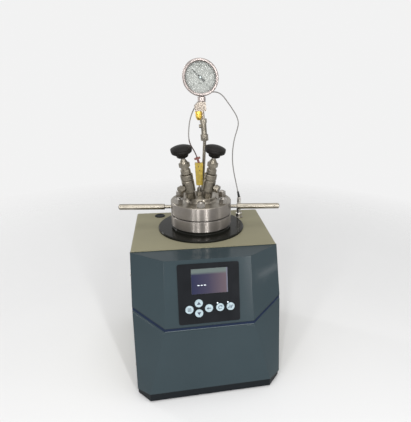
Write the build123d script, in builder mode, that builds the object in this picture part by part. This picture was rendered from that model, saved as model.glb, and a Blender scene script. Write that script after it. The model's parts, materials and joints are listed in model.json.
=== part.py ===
from build123d import *
import os
from math import atan2, cos, degrees, radians, sin, tan

# Hydrothermal micro-reactor on its heater, stirrer and controller base.
# Millimetres, +Z up, front towards -Y, origin on the table under the middle of the base.

# ---------------------------------------------------------------- driving dimensions
# Fits
seat_gap = 0.3          # between pieces that must not rub
running_gap = 0.05      # radial, shafts in their bores
thread_gap = 0.1        # radial, screws and studs in their holes

# Case
case_width = 270.0
case_depth = 196.0      # top panel, front edge to back edge
case_height = 247.0     # above the tray
case_back_y = 143.5
sheet = 1.5
bend_radius = 4.0
foot_height = 3.0
foot_radius = 9.0
foot_inset = 26.0
foot_front_inset = 36.0
tray_height = 15.0
tray_wall = 4.0
tray_floor = 2.5
rail_height = 12.0
rail_thickness = 2.5

# Front cover: distances forward of the top panel's edge and below it
ledge_wall = 3.0
ledge_tongue = 3.0
brow_reach = 43.7
waist_reach = 74.5
waist_drop = 120.0
corner_reach = 42.5
corner_drop = 88.0
ankle_reach = 71.0
toe_reach = 91.0
tray_corner_reach = 64.0
brow_half_width = 76.5
waist_half_width = 79.5
toe_half_width = 112.0
cover_wall = 4.0
groove_width = 5.0
groove_depth = 3.0
strip_recess = 1.8
strip_side_gap = 0.15
tab_length = 16.0
tab_height = 14.0

# Control panel, measured down the slope from the brow
panel_width = 109.0
panel_length = 109.5
panel_x = -0.5
panel_top = 7.4
panel_corner = 4.0
panel_thickness = 1.2
display_width = 64.5
display_length = 46.0
display_x = 1.0
display_down = 39.9
display_frame = 4.0
display_depth = 6.0
key_radius = 7.2
key_travel = 1.0
key_proud = 1.5
key_flange = 1.6
key_stem_length = 2.5
key_row_down = 89.6
key_arrow_down = 79.2
key_arrow_pitch = 18.3
key_arrow_x = -19.4
key_columns = (-36.1, -1.7, 18.2, 37.0)
board_thickness = 1.6
board_width = 104.0
board_length = 38.0

# Rear
rear_recess = 4.0
rear_flange = 14.0
module_x = 78.0
module_z = 62.0
module_width = 30.0
module_length = 50.0
module_depth = 28.0
module_lip = 2.0
module_plate = 1.5
socket_width = 24.0
socket_height = 16.5
socket_depth = 18.0
socket_down = 12.0
pin_length = 12.0
pin_pitch = 7.0
rocker_up = 12.0
rocker_radius = 7.5
rocker_width = 13.0
rocker_tilt = 9.0
slot_width = 34.0
slot_height = 3.0
slot_pitch = 7.0
slot_rows = 9

# Top of the case
plug_x = -85.6
plug_y = 123.5
plug_radius = 10.85
plug_barrel = 7.7
socket_x = 85.8
socket_y = 99.0
socket_body = 6.0
socket_flange = 8.5

# Heater and vessel
vessel_y = 52.5
collar_radius = 87.0
collar_height = 4.5
collar_seat_radius = 58.0
flange_lift = 10.0      # underside of the vessel's flange above the case
well_flange_radius = 78.0
well_flange = 2.0
well_wall = 4.0
well_gap = 0.6
well_floor = 3.0
heater_thickness = 5.0
heater_length = 70.0
jacket_thickness = 19.0
vessel_radius = 42.0
vessel_bore = 31.0
vessel_depth = 125.0    # body below the flange
vessel_floor = 10.0
flange_radius = 60.7
flange_thickness = 21.8
seal_gap = 1.8
gasket_radius = 35.5
gasket_width = 5.0
gasket_recess = 1.2
liner_wall = 3.0
lid_thickness = 25.8
lid_turn = -4.6         # bolts and handles, about the vessel's axis
boss_radius = 30.0
boss_height = 8.6
edge_break = 1.5
bolt_count = 6
bolt_circle = 50.0
stud_radius = 4.0
stud_depth = 18.0
nut_width = 15.0
nut_height = 9.0
handle_rise = 10.4      # above the lid's underside
handle_reach = 162.3
handle_radius = 5.75
handle_start = 73.0
handle_neck = 3.6
handle_thread = 10.0

# Stirrer
stir_bar_radius = 4.0
stir_bar_length = 30.0
magnet_radius = 24.0
magnet_thickness = 11.0
magnet_gap = 3.0
shaft_radius = 3.0
motor_radius = 28.0
motor_length = 60.0
motor_gap = 16.0        # between the motor's plate and the magnet
bracket_sheet = 2.0
bracket_width = 84.0
bracket_depth = 60.0
bracket_foot = 16.0

# Thermocouple
probe_x = -3.0
probe_radius = 1.5
probe_tip = 18.0        # above the liner's floor
gland_width = 12.0
gland_height = 9.0
gland_nut = 8.0
tc_width = 16.0
tc_foot_width = 12.0
tc_thickness = 8.0
tc_socket_length = 23.0
tc_plug_length = 22.0
probe_bare = 5.0        # sheath between the gland and the socket
clamp_width = 12.0
clamp_height = 3.5
sleeve_radius = 2.2
sleeve_length = 12.0
sleeve_lean = 18.0

# Valves
valve_mid_x = -5.0
valve_half_spacing = 15.8
valve_y = 39.5
valve_lean_out = 9.2
valve_lean_front = 8.0
valve_nut_width = 17.0
valve_nut_height = 10.0
valve_body_radius = 12.0
valve_body_base = 14.0
valve_body_waist = 39.0
valve_body_top = 51.0
bonnet_radius = 7.5
bonnet_ring_radius = 9.6
bonnet_ring_top = 62.0
bonnet_hex_base = 66.0
bonnet_hex_width = 18.0
bonnet_hex_height = 8.0
bonnet_length = 31.0
bonnet_tip_radius = 4.0
stem_radius = 3.0
stem_tip = 26.0
stem_top = 94.5
knob_base = 85.5
knob_hub_radius = 11.0
knob_radius = 19.8
knob_height = 23.0
knob_dome = 5.0
knob_rim = 8.0
outlet_height = 27.0
outlet_out = 0.8
outlet_forward = 0.5
outlet_fall = 0.33
outlet_radius = 5.0
outlet_length = 20.5
outlet_cap_width = 13.0
outlet_cap_length = 9.0

# Riser and gauge: t is measured up the leaning axis from the union's lower nut
riser_foot_x = 4.5
riser_y = 72.5
riser_radius = 3.2
riser_nut_width = 12.0
riser_nut_height = 10.0
union_x = 10.4
union_z = 446.0
gauge_x = 4.0
gauge_z = 557.5
union_nut = 6.0
union_nut_width = 13.0
union_radius = 5.5
union_body_top = 28.0
union_top = 36.0
union_port_t = 22.0
union_port_radius = 3.4
union_port_reach = 9.0
neck_radius = 3.2
block_base = 51.0
block_top = 69.0
block_half_width = 6.5
block_arm = 15.0
block_depth = 17.0
relief_x = -8.5
relief_forward = 5.5
relief_radius = 6.2
relief_tip_radius = 4.0
relief_length = 16.5
gauge_hex_width = 13.0
gauge_hex_height = 8.0
gauge_neck_radius = 4.0
gauge_can_radius = 31.5
gauge_can_back = 13.0
gauge_can_front = 9.0
gauge_can_wall = 1.5
bezel_radius = 33.5
bezel_lip_radius = 28.0
bezel_back = 4.6
bezel_front = 13.5
glass_thickness = 2.3
dial_level = 4.0
dial_thickness = 0.8
pointer_shaft = 1.5
pointer_hub = 3.2
pointer_length = 22.0
pointer_tail = 10.0
pointer_angle = 135.0   # from the gauge's x axis, anticlockwise

# Cable
cable_radius = 1.1
connector_shell = 5.0
connector_nut = 6.8
connector_boot = 2.9
boot_length = 13.0
boot_lean = 12.0
shell_length = 44.0

# ---------------------------------------------------------------- derived places
half_width = case_width / 2
top_front_y = case_back_y - case_depth
tray_base_z = foot_height
tray_top_z = tray_base_z + tray_height
floor_z = tray_base_z + tray_floor
case_top_z = tray_top_z + case_height
brow_drop = sheet + 0.2
cover_top_z = case_top_z - brow_drop
inner_half_width = half_width - sheet - seat_gap
brow = Vector(0, top_front_y - brow_reach, case_top_z - brow_drop)
waist = Vector(0, top_front_y - waist_reach, case_top_z - waist_drop)
corner_y = top_front_y - corner_reach
corner_z = case_top_z - corner_drop
ankle_y = top_front_y - ankle_reach
toe_y = top_front_y - toe_reach
brow_plane = Plane(origin=brow, x_dir=(1, 0, 0), z_dir=(0, -brow_drop, brow_reach))
waist_plane = Plane(
    origin=waist, x_dir=(1, 0, 0), z_dir=(0, corner_drop - waist_drop, waist_reach - corner_reach)
)
face_plane = Plane(
    origin=brow, x_dir=(1, 0, 0), z_dir=(0, brow_drop - waist_drop, waist_reach - brow_reach)
)
face_wall = cover_wall * (waist_drop - brow_drop) / (brow - waist).length
rear_y = case_back_y - rear_recess

vessel_axis = Plane.XY.move(Location((0, vessel_y, 0)))
flange_z = case_top_z + flange_lift
flange_top_z = flange_z + flange_thickness
lid_z = flange_top_z + seal_gap
lid_top_z = lid_z + lid_thickness
handle_z = lid_z + handle_rise
boss_top_z = lid_top_z + boss_height
vessel_base_z = flange_z - vessel_depth
liner_base_z = vessel_base_z + vessel_floor
liner_floor_z = liner_base_z + liner_wall
well_bore = vessel_radius + well_gap
well_radius = well_bore + well_wall
well_base_z = vessel_base_z - seat_gap - well_floor
heater_bore = well_radius + seat_gap
heater_radius = heater_bore + heater_thickness
jacket_bore = heater_radius + seat_gap
magnet_top_z = well_base_z - magnet_gap
magnet_base_z = magnet_top_z - magnet_thickness
bracket_top_z = magnet_base_z - motor_gap + bracket_sheet + 8
motor_top_z = bracket_top_z - bracket_sheet
gland_top_z = boss_top_z + gland_height + gland_nut
tc_socket_z = gland_top_z + probe_bare
tc_plug_z = tc_socket_z + tc_socket_length
tc_top_z = tc_plug_z + tc_plug_length
bolt_start = lid_turn - 90

riser_lean = atan2(union_x - gauge_x, gauge_z - union_z)
upper_axis = Plane(
    origin=(union_x, riser_y, union_z),
    x_dir=(cos(riser_lean), 0, sin(riser_lean)),
    z_dir=(-sin(riser_lean), 0, cos(riser_lean)),
)
upper_face = Plane(origin=upper_axis.origin, x_dir=upper_axis.x_dir, z_dir=(0, -1, 0))
gauge_face = Plane(origin=(gauge_x, riser_y, gauge_z), x_dir=upper_axis.x_dir, z_dir=(0, -1, 0))
gauge_t = (gauge_face.origin - upper_axis.origin).length

connector_base_z = case_top_z + 2.8

# Plan outline of the tray, anticlockwise from the back right corner
tray_outline = [
    (half_width, case_back_y),
    (-half_width, case_back_y),
    (-half_width, top_front_y - tray_corner_reach),
    (-toe_half_width, toe_y),
    (toe_half_width, toe_y),
    (half_width, top_front_y - tray_corner_reach),
]

os.makedirs("parts", exist_ok=True)


def save(builder, name):
    """Label a finished piece and write its STEP file."""
    builder.part.label = name
    export_step(builder.part, f"parts/{name}.step")


def turned(plane, points):
    """Solid of revolution about a plane's normal, from (radius, height) points."""
    with BuildPart() as piece:
        section = Plane(origin=plane.origin, x_dir=plane.x_dir, z_dir=-plane.y_dir)
        with BuildSketch(section):
            Polygon(*points, align=None)
        revolve(axis=Axis(plane.origin, plane.z_dir))
    return piece.part


def hexagon(plane, base, height, width):
    """Hexagonal bar across flats, standing on a plane."""
    with BuildPart() as piece:
        with BuildSketch(plane.offset(base)):
            RegularPolygon(width / 2, 6, major_radius=False)
        extrude(amount=height)
    return piece.part


def rod(plane, base, height, radius):
    """Round bar standing on a plane."""
    with BuildPart() as piece:
        with BuildSketch(plane.offset(base)):
            Circle(radius)
        extrude(amount=height)
    return piece.part


# ---------------------------------------------------------------- base tray and feet
with BuildPart() as rubber_feet:
    with BuildSketch(Plane.XY):
        for foot_y in (toe_y + foot_front_inset, case_back_y - foot_inset):
            with Locations((foot_inset - half_width, foot_y), (half_width - foot_inset, foot_y)):
                Circle(foot_radius)
    extrude(amount=foot_height)
    fillet(rubber_feet.faces().sort_by(Axis.Z)[0:4].edges(), 0.8)
save(rubber_feet, "rubber_feet")

with BuildPart() as base_tray:
    with BuildSketch(Plane.XY.offset(tray_base_z)):
        Polygon(*tray_outline, align=None)
    extrude(amount=tray_height)
    with BuildSketch(Plane.XY.offset(floor_z)):
        Polygon(*tray_outline, align=None)
        offset(amount=-tray_wall, kind=Kind.INTERSECTION, mode=Mode.REPLACE)
    extrude(amount=tray_height, mode=Mode.SUBTRACT)
    rail_length = case_depth - 2 * foot_inset
    for side in (-1, 1):
        rail_x = side * (inner_half_width - rail_thickness / 2)
        with Locations((rail_x, case_back_y - case_depth / 2, tray_top_z - 2)):
            Box(
                rail_thickness,
                rail_length,
                rail_height + 2,
                align=(Align.CENTER, Align.CENTER, Align.MIN),
            )


# ---------------------------------------------------------------- front cover
def nose_face(plane, points):
    """Section of the console nose, closed behind the case's front edge."""
    with BuildSketch(plane) as section:
        Polygon(*points, align=None)
    return section.sketch.face()


def section_points(front_half, side_reach, back_reach):
    """Straight front, two corner facets and two sides, in a section's own plane."""
    return [
        (half_width, back_reach),
        (-half_width, back_reach),
        (-half_width, side_reach),
        (-front_half, 0),
        (front_half, 0),
        (half_width, side_reach),
    ]


brow_side = (brow_reach**2 + brow_drop**2) ** 0.5
corner_side = (waist - Vector(0, corner_y, corner_z)).length
toe_plane = Plane.XY.move(Location((0, toe_y, tray_top_z)))
brow_face = nose_face(brow_plane, section_points(brow_half_width, brow_side, brow_side + 40))
waist_face = nose_face(waist_plane, section_points(waist_half_width, corner_side, corner_side + 40))
toe_face = nose_face(toe_plane, section_points(toe_half_width, ankle_y - toe_y, ankle_y - toe_y + 60))

with BuildPart() as nose_build:
    loft(sections=[brow_face, waist_face], ruled=True)
    loft(sections=[waist_face, toe_face], ruled=True)
nose = nose_build.part


def nose_band(near, far, side_gap):
    """Strip of the nose's skin below the waist, between two depths behind its outer faces."""
    with BuildPart() as band:
        add(nose.moved(Location((0, near, 0))))
        add(nose.moved(Location((0, far, 0))), mode=Mode.SUBTRACT)
        split(bisect_by=waist_plane.offset(-side_gap), keep=Keep.BOTTOM)
        split(bisect_by=waist_plane.offset(side_gap - groove_width), keep=Keep.TOP)
        split(bisect_by=Plane.XZ.offset(-top_front_y), keep=Keep.TOP)
    return band.part


def on_face(*places):
    """Places on the sloping face, from (x, distance down the slope)."""
    return Locations(*[(x, -down) for x, down in places])


key_places = {
    "key_set": (key_columns[0], key_row_down),
    "key_up": (key_arrow_x, key_arrow_down),
    "key_down": (key_arrow_x, key_arrow_down + key_arrow_pitch),
    "key_mode": (key_columns[1], key_row_down),
    "key_stir": (key_columns[2], key_row_down),
    "key_heat": (key_columns[3], key_row_down),
}
key_middle_x = (key_columns[0] + key_columns[-1]) / 2
key_middle_down = key_arrow_down + key_arrow_pitch / 2
board_level = -(face_wall + seat_gap + key_flange + key_stem_length + key_travel + seat_gap)
board_posts = [
    (key_middle_x + i * (board_width / 2 - 4), key_middle_down + j * (board_length / 2 - 4))
    for i in (-1, 1)
    for j in (-1, 1)
]


def cover_edge_y(z):
    """How far forward the cover's side edge stands at a height."""
    if z > corner_z:
        return top_front_y - corner_reach * (case_top_z - z) / corner_drop
    return corner_y - (ankle_reach - corner_reach) * (corner_z - z) / (corner_z - tray_top_z)


tab_heights = (tray_top_z + 40, case_top_z - 42)
tab_places = [(cover_edge_y(z) + cover_wall - 1.5 + tab_length / 2, z) for z in tab_heights]

with BuildPart() as front_cover:
    add(nose)
    add(nose.moved(Location((0, cover_wall, 0))), mode=Mode.SUBTRACT)
    split(bisect_by=Plane.XY.offset(cover_top_z), keep=Keep.BOTTOM)
    with BuildSketch(Plane.XY.offset(cover_top_z - ledge_wall)):
        with Locations((0, top_front_y + ledge_tongue - brow_reach / 2)):
            Rectangle(2 * (inner_half_width - bend_radius), brow_reach)
    extrude(amount=ledge_wall)
    add(nose_band(0, groove_depth, 0), mode=Mode.SUBTRACT)
    with BuildSketch(face_plane):
        with on_face((display_x, display_down)):
            Rectangle(display_width + 2 * seat_gap, display_length + 2 * seat_gap)
        with on_face(*key_places.values()):
            Circle(key_radius + seat_gap)
    extrude(amount=-2 * cover_wall, mode=Mode.SUBTRACT)
    with BuildSketch(face_plane.offset(board_level)):
        with on_face(*board_posts):
            Circle(3)
    extrude(amount=-board_level - face_wall + 0.5)
    for side in (-1, 1):
        tab_x = side * (inner_half_width - rail_thickness / 2)
        for tab_y, tab_z in tab_places:
            with Locations((tab_x, tab_y, tab_z)):
                Box(rail_thickness, tab_length, tab_height)
    add(nose, mode=Mode.INTERSECT)
    with BuildSketch(Plane.XY.offset(tray_top_z)):
        Rectangle(2 * case_width, 2 * case_width)
    extrude(amount=cover_top_z - tray_top_z, mode=Mode.INTERSECT)

with BuildPart() as accent_strip:
    add(nose_band(strip_recess, groove_depth, strip_side_gap))
save(accent_strip, "accent_strip")

# ---------------------------------------------------------------- control panel
panel_middle = (panel_x, panel_top + panel_length / 2)

with BuildPart() as control_panel:
    with BuildSketch(face_plane):
        with on_face(panel_middle):
            RectangleRounded(panel_width, panel_length, panel_corner)
        with on_face((display_x, display_down)):
            Rectangle(
                display_width + 2 * seat_gap, display_length + 2 * seat_gap, mode=Mode.SUBTRACT
            )
        with on_face(*key_places.values()):
            Circle(key_radius + seat_gap, mode=Mode.SUBTRACT)
    extrude(amount=panel_thickness)
save(control_panel, "control_panel")

with BuildPart() as display_module:
    with BuildSketch(face_plane.offset(-face_wall - display_depth)):
        with on_face((display_x, display_down)):
            Rectangle(display_width + 2 * display_frame, display_length + 2 * display_frame)
    extrude(amount=display_depth)
    with BuildSketch(face_plane.offset(-face_wall)):
        with on_face((display_x, display_down)):
            Rectangle(display_width, display_length)
    extrude(amount=face_wall + panel_thickness - 0.4)
save(display_module, "display_module")

key_flange_level = -face_wall - seat_gap - key_flange
for key_name, key_place in key_places.items():
    with BuildPart() as key:
        with BuildSketch(face_plane.offset(key_flange_level - key_stem_length)):
            with on_face(key_place):
                Circle(key_radius / 2)
        extrude(amount=key_stem_length)
        with BuildSketch(face_plane.offset(key_flange_level)):
            with on_face(key_place):
                Circle(key_radius + 1)
        extrude(amount=key_flange)
        with BuildSketch(face_plane.offset(-face_wall - seat_gap)):
            with on_face(key_place):
                Circle(key_radius)
        extrude(amount=face_wall + seat_gap + panel_thickness + key_proud)
        fillet(key.edges().filter_by(GeomType.CIRCLE).sort_by(Axis(brow, face_plane.z_dir))[-1], 0.8)
    save(key, key_name)

with BuildPart() as keypad_board:
    with BuildSketch(face_plane.offset(board_level - board_thickness)):
        with on_face((key_middle_x, key_middle_down)):
            Rectangle(board_width, board_length)
    extrude(amount=board_thickness)
save(keypad_board, "keypad_board")


# ---------------------------------------------------------------- case wrap and rear panel
def arch(side_x, top_z, corner, back_y, length):
    """Block under a folded arch, from the tray's rim up, running forward from back_y."""
    with BuildPart() as block:
        with BuildSketch(Plane.XZ.offset(-back_y)) as section:
            Polygon(
                (-side_x, tray_top_z),
                (side_x, tray_top_z),
                (side_x, top_z),
                (-side_x, top_z),
                align=None,
            )
            fillet(section.vertices().group_by(Axis.Y)[-1], corner)
        extrude(amount=length)
    return block.part


side_screws = [(rail_y, tray_top_z + rail_height / 2) for rail_y in (-60, 35, 110)]
tab_screws = [(tab_y + 3, tab_z) for tab_y, tab_z in tab_places]
rear_screws = [(rear_y - rear_flange / 2, tray_top_z + share) for share in (60, 190)]
screw_places = side_screws + tab_screws + rear_screws
screw_hole = 1.7
screw_radius = 1.5
screw_head = 3.2
edge_set_back = cover_wall + seat_gap

with BuildPart() as case_wrap:
    add(arch(half_width, case_top_z, bend_radius, case_back_y, 2 * case_depth))
    add(
        arch(half_width - sheet, case_top_z - sheet, bend_radius - sheet, case_back_y, 2 * case_depth),
        mode=Mode.SUBTRACT,
    )
    with BuildSketch(Plane.YZ):
        Polygon(
            (case_back_y, tray_top_z),
            (case_back_y, case_top_z),
            (top_front_y, case_top_z),
            (top_front_y, case_top_z - sheet),
            (top_front_y + edge_set_back, case_top_z - sheet),
            (corner_y + edge_set_back, corner_z),
            (ankle_y + edge_set_back, tray_top_z),
            align=None,
        )
    extrude(amount=case_width, both=True, mode=Mode.INTERSECT)
    with BuildSketch(Plane.XY.offset(case_top_z)):
        with Locations((0, vessel_y)):
            Circle(well_radius + seat_gap + heater_thickness)
        with Locations((plug_x, plug_y)):
            Circle(plug_barrel + seat_gap)
        with Locations((socket_x, socket_y)):
            Circle(socket_body + seat_gap)
    extrude(amount=-2 * sheet, mode=Mode.SUBTRACT)
    with BuildSketch(Plane.YZ):
        with Locations(*screw_places):
            Circle(screw_hole)
    extrude(amount=case_width, both=True, mode=Mode.SUBTRACT)
save(case_wrap, "case_wrap")

panel_top_z = case_top_z - sheet - seat_gap
with BuildPart() as rear_panel:
    with BuildSketch(Plane.XY.offset(tray_top_z)):
        Polygon(
            (inner_half_width, rear_y - rear_flange),
            (inner_half_width, rear_y),
            (-inner_half_width, rear_y),
            (-inner_half_width, rear_y - rear_flange),
            (-inner_half_width + sheet, rear_y - rear_flange),
            (-inner_half_width + sheet, rear_y - sheet),
            (inner_half_width - sheet, rear_y - sheet),
            (inner_half_width - sheet, rear_y - rear_flange),
            align=None,
        )
    extrude(amount=panel_top_z - bend_radius - tray_top_z)
    with BuildSketch(Plane.XZ.offset(-rear_y)):
        with Locations((module_x, module_z)):
            Rectangle(module_width + 2 * seat_gap, module_length + 2 * seat_gap)
        with Locations((0, (case_top_z + tray_top_z) / 2 + 40)):
            with GridLocations(2 * slot_width, slot_pitch, 3, slot_rows):
                Rectangle(slot_width, slot_height)
    extrude(amount=2 * sheet, mode=Mode.SUBTRACT)
    with BuildSketch(Plane.YZ):
        with Locations(*rear_screws):
            Circle(screw_hole)
    extrude(amount=case_width, both=True, mode=Mode.SUBTRACT)
save(rear_panel, "rear_panel")

# Screw holes through the tray's rails and the cover's tabs
for carrier, places, name in (
    (base_tray, side_screws, "base_tray"),
    (front_cover, tab_screws, "front_cover"),
):
    with carrier:
        with BuildSketch(Plane.YZ):
            with Locations(*places):
                Circle(screw_hole)
        extrude(amount=half_width, both=True, mode=Mode.SUBTRACT)
    save(carrier, name)

with BuildPart() as case_screws:
    for side in (-1, 1):
        with BuildSketch(Plane.YZ.offset(side * half_width)):
            with Locations(*screw_places):
                Circle(screw_head)
        extrude(amount=side * 1.8)
        with BuildSketch(Plane.YZ.offset(side * half_width)):
            with Locations(*screw_places):
                Circle(screw_radius)
        extrude(amount=-side * (sheet + rail_thickness + 1))
save(case_screws, "case_screws")

# ---------------------------------------------------------------- mains inlet and switch
rocker_pivot_y = rear_y - 2.0
rocker_pivot_z = module_z + rocker_up
socket_z = module_z - socket_down
module_front_y = rear_y + module_plate

with BuildPart() as mains_inlet:
    with BuildSketch(Plane.XZ.offset(-module_front_y)):
        with Locations((module_x, module_z)):
            Rectangle(module_width + 2 * module_lip, module_length + 2 * module_lip)
    extrude(amount=module_plate)
    with BuildSketch(Plane.XZ.offset(-rear_y)):
        with Locations((module_x, module_z)):
            Rectangle(module_width, module_length)
    extrude(amount=module_depth)
    with BuildSketch(Plane.XZ.offset(-module_front_y)):
        with Locations((module_x, socket_z)):
            Rectangle(socket_width, socket_height)
    extrude(amount=socket_depth, mode=Mode.SUBTRACT)
    with BuildSketch(Plane.XZ.offset(socket_depth - module_front_y)):
        with Locations((module_x, socket_z)):
            with Locations((-pin_pitch, -2), (0, 2), (pin_pitch, -2)):
                Rectangle(2, 4)
    extrude(amount=-pin_length)
    with BuildSketch(Plane.YZ.offset(module_x)):
        with Locations((rocker_pivot_y, rocker_pivot_z)):
            Circle(rocker_radius + seat_gap)
    extrude(amount=rocker_width / 2 + seat_gap, both=True, mode=Mode.SUBTRACT)
save(mains_inlet, "mains_inlet")

with BuildPart() as power_rocker:
    with BuildSketch(Plane.YZ.offset(module_x)) as rocker_section:
        with Locations((rocker_pivot_y, rocker_pivot_z)):
            Circle(rocker_radius)
        for paddle in (-1, 1):
            with Locations(Location((rocker_pivot_y + 3.6, rocker_pivot_z), -rocker_tilt * (1 + paddle))):
                with Locations((rocker_radius, 0)):
                    Rectangle(
                        2 * rocker_radius, 4 * rocker_radius, mode=Mode.SUBTRACT
                    )
    extrude(amount=rocker_width / 2, both=True)
save(power_rocker, "power_rocker")

# ---------------------------------------------------------------- fittings on the top panel
plug_plane = Plane.XY.move(Location((plug_x, plug_y, case_top_z)))
with BuildPart() as hole_plug:
    add(
        turned(
            plug_plane,
            [
                (0, -2.5),
                (plug_barrel - 1.5, -2.5),
                (plug_barrel - 1.5, -7),
                (plug_barrel, -7),
                (plug_barrel, 0),
                (plug_radius, 0),
                (plug_radius, 0.8),
                (plug_radius - 1.2, 1.8),
                (plug_radius - 3, 1.8),
                (plug_radius - 3.6, 1.2),
                (0, 1.2),
            ],
        )
    )
save(hole_plug, "hole_plug")

socket_plane = Plane.XY.move(Location((socket_x, socket_y, case_top_z)))
socket_bore = connector_shell - 1 + 0.2
with BuildPart() as sensor_socket:
    add(
        turned(
            socket_plane,
            [
                (0, -16),
                (socket_body, -16),
                (socket_body, 0),
                (socket_flange, 0),
                (socket_flange, 1.9),
                (socket_flange - 0.6, 2.5),
                (socket_bore, 2.5),
                (socket_bore, -12),
                (0, -12),
            ],
        )
    )
save(sensor_socket, "sensor_socket")

# ---------------------------------------------------------------- heater
collar_bore = vessel_radius + 1.3
collar_top_z = case_top_z + collar_height
well_flange_z = case_top_z + well_flange

with BuildPart() as heater_collar:
    add(
        turned(
            vessel_axis,
            [
                (collar_bore, well_flange_z),
                (well_flange_radius + seat_gap, well_flange_z),
                (well_flange_radius + seat_gap, case_top_z),
                (collar_radius, case_top_z),
                (collar_radius, collar_top_z - 1.5),
                (collar_radius - 1.5, collar_top_z),
                (collar_seat_radius + 1.5, collar_top_z),
                (collar_seat_radius, collar_top_z + 1.5),
                (collar_seat_radius, flange_z),
                (collar_bore, flange_z),
            ],
        )
    )
save(heater_collar, "heater_collar")

with BuildPart() as heater_well:
    add(
        turned(
            vessel_axis,
            [
                (0, well_base_z),
                (well_radius - 2, well_base_z),
                (well_radius, well_base_z + 2),
                (well_radius, case_top_z),
                (well_flange_radius, case_top_z),
                (well_flange_radius, well_flange_z),
                (well_bore, well_flange_z),
                (well_bore, well_base_z + well_floor),
                (0, well_base_z + well_floor),
            ],
        )
    )
save(heater_well, "heater_well")

heater_base_z = well_base_z + (case_top_z - well_base_z - heater_length) / 2
with BuildPart() as heater_band:
    with BuildSketch(vessel_axis.offset(heater_base_z)):
        Circle(heater_radius)
        Circle(heater_bore, mode=Mode.SUBTRACT)
    extrude(amount=heater_length)
save(heater_band, "heater_band")

with BuildPart() as insulation_jacket:
    with BuildSketch(vessel_axis.offset(well_base_z)):
        Circle(jacket_bore + jacket_thickness)
        Circle(jacket_bore, mode=Mode.SUBTRACT)
    extrude(amount=case_top_z - sheet - seat_gap - well_base_z)
save(insulation_jacket, "insulation_jacket")

# ---------------------------------------------------------------- stirrer
bracket_half = bracket_width / 2
with BuildPart() as motor_bracket:
    with BuildSketch(Plane.XZ.offset(-vessel_y)):
        Polygon(
            (-bracket_half - bracket_foot, floor_z),
            (-bracket_half + bracket_sheet, floor_z),
            (-bracket_half + bracket_sheet, motor_top_z),
            (bracket_half - bracket_sheet, motor_top_z),
            (bracket_half - bracket_sheet, floor_z),
            (bracket_half + bracket_foot, floor_z),
            (bracket_half + bracket_foot, floor_z + bracket_sheet),
            (bracket_half, floor_z + bracket_sheet),
            (bracket_half, bracket_top_z),
            (-bracket_half, bracket_top_z),
            (-bracket_half, floor_z + bracket_sheet),
            (-bracket_half - bracket_foot, floor_z + bracket_sheet),
            align=None,
        )
    extrude(amount=bracket_depth / 2, both=True)
    with BuildSketch(vessel_axis.offset(bracket_top_z)):
        Circle(2 * shaft_radius)
    extrude(amount=-2 * bracket_sheet, mode=Mode.SUBTRACT)
save(motor_bracket, "motor_bracket")

shaft_seat = 10.0
with BuildPart() as stirrer_motor:
    with BuildSketch(vessel_axis.offset(motor_top_z - motor_length)):
        Circle(motor_radius)
    extrude(amount=motor_length)
    chamfer(stirrer_motor.edges().filter_by(GeomType.CIRCLE).sort_by(Axis.Z)[0], 2)
    with BuildSketch(vessel_axis.offset(motor_top_z)):
        Circle(shaft_radius + running_gap)
    extrude(amount=-shaft_seat - seat_gap, mode=Mode.SUBTRACT)
save(stirrer_motor, "stirrer_motor")

with BuildPart() as stirrer_magnet:
    add(rod(vessel_axis, motor_top_z - shaft_seat, magnet_base_z - motor_top_z + shaft_seat, shaft_radius))
    add(rod(vessel_axis, magnet_base_z, magnet_thickness, magnet_radius))
save(stirrer_magnet, "stirrer_magnet")

# ---------------------------------------------------------------- vessel
with BuildPart() as vessel:
    add(
        turned(
            vessel_axis,
            [
                (0, vessel_base_z),
                (vessel_radius - 3, vessel_base_z),
                (vessel_radius, vessel_base_z + 3),
                (vessel_radius, flange_z),
                (flange_radius - 1, flange_z),
                (flange_radius, flange_z + 1),
                (flange_radius, flange_top_z - 1),
                (flange_radius - 1, flange_top_z),
                (gasket_radius + gasket_width / 2 + thread_gap, flange_top_z),
                (gasket_radius + gasket_width / 2 + thread_gap, flange_top_z - gasket_recess),
                (gasket_radius - gasket_width / 2 - thread_gap, flange_top_z - gasket_recess),
                (gasket_radius - gasket_width / 2 - thread_gap, flange_top_z),
                (vessel_bore, flange_top_z),
                (vessel_bore, liner_base_z),
                (0, liner_base_z),
            ],
        )
    )
    with BuildSketch(vessel_axis.offset(flange_top_z)):
        with PolarLocations(bolt_circle, bolt_count, start_angle=bolt_start):
            Circle(stud_radius + thread_gap)
    extrude(amount=-stud_depth - 1, mode=Mode.SUBTRACT)
save(vessel, "vessel")

liner_radius = vessel_bore - seat_gap
liner_bore = liner_radius - liner_wall
with BuildPart() as liner:
    add(
        turned(
            vessel_axis,
            [
                (0, liner_base_z),
                (liner_radius, liner_base_z),
                (liner_radius, flange_top_z - 1),
                (liner_bore, flange_top_z - 1),
                (liner_bore, liner_floor_z + 4),
                (liner_bore - 4, liner_floor_z),
                (0, liner_floor_z),
            ],
        )
    )
save(liner, "liner")

stir_bar_z = liner_floor_z + seat_gap + stir_bar_radius
with BuildPart() as stir_bar:
    with BuildSketch(Plane.YZ):
        with Locations((vessel_y, stir_bar_z)):
            Circle(stir_bar_radius)
    extrude(amount=stir_bar_length / 2, both=True)
    fillet(stir_bar.edges().filter_by(GeomType.CIRCLE), stir_bar_radius * 0.7)
save(stir_bar, "stir_bar")

with BuildPart() as gasket:
    with BuildSketch(vessel_axis.offset(flange_top_z - gasket_recess)):
        Circle(gasket_radius + gasket_width / 2)
        Circle(gasket_radius - gasket_width / 2, mode=Mode.SUBTRACT)
    extrude(amount=gasket_recess + seal_gap)
save(gasket, "gasket")

# ---------------------------------------------------------------- lid, bolts and handles
lid_plane = Plane.XY.move(Location((0, vessel_y, 0), (0, 0, lid_turn)))


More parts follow.
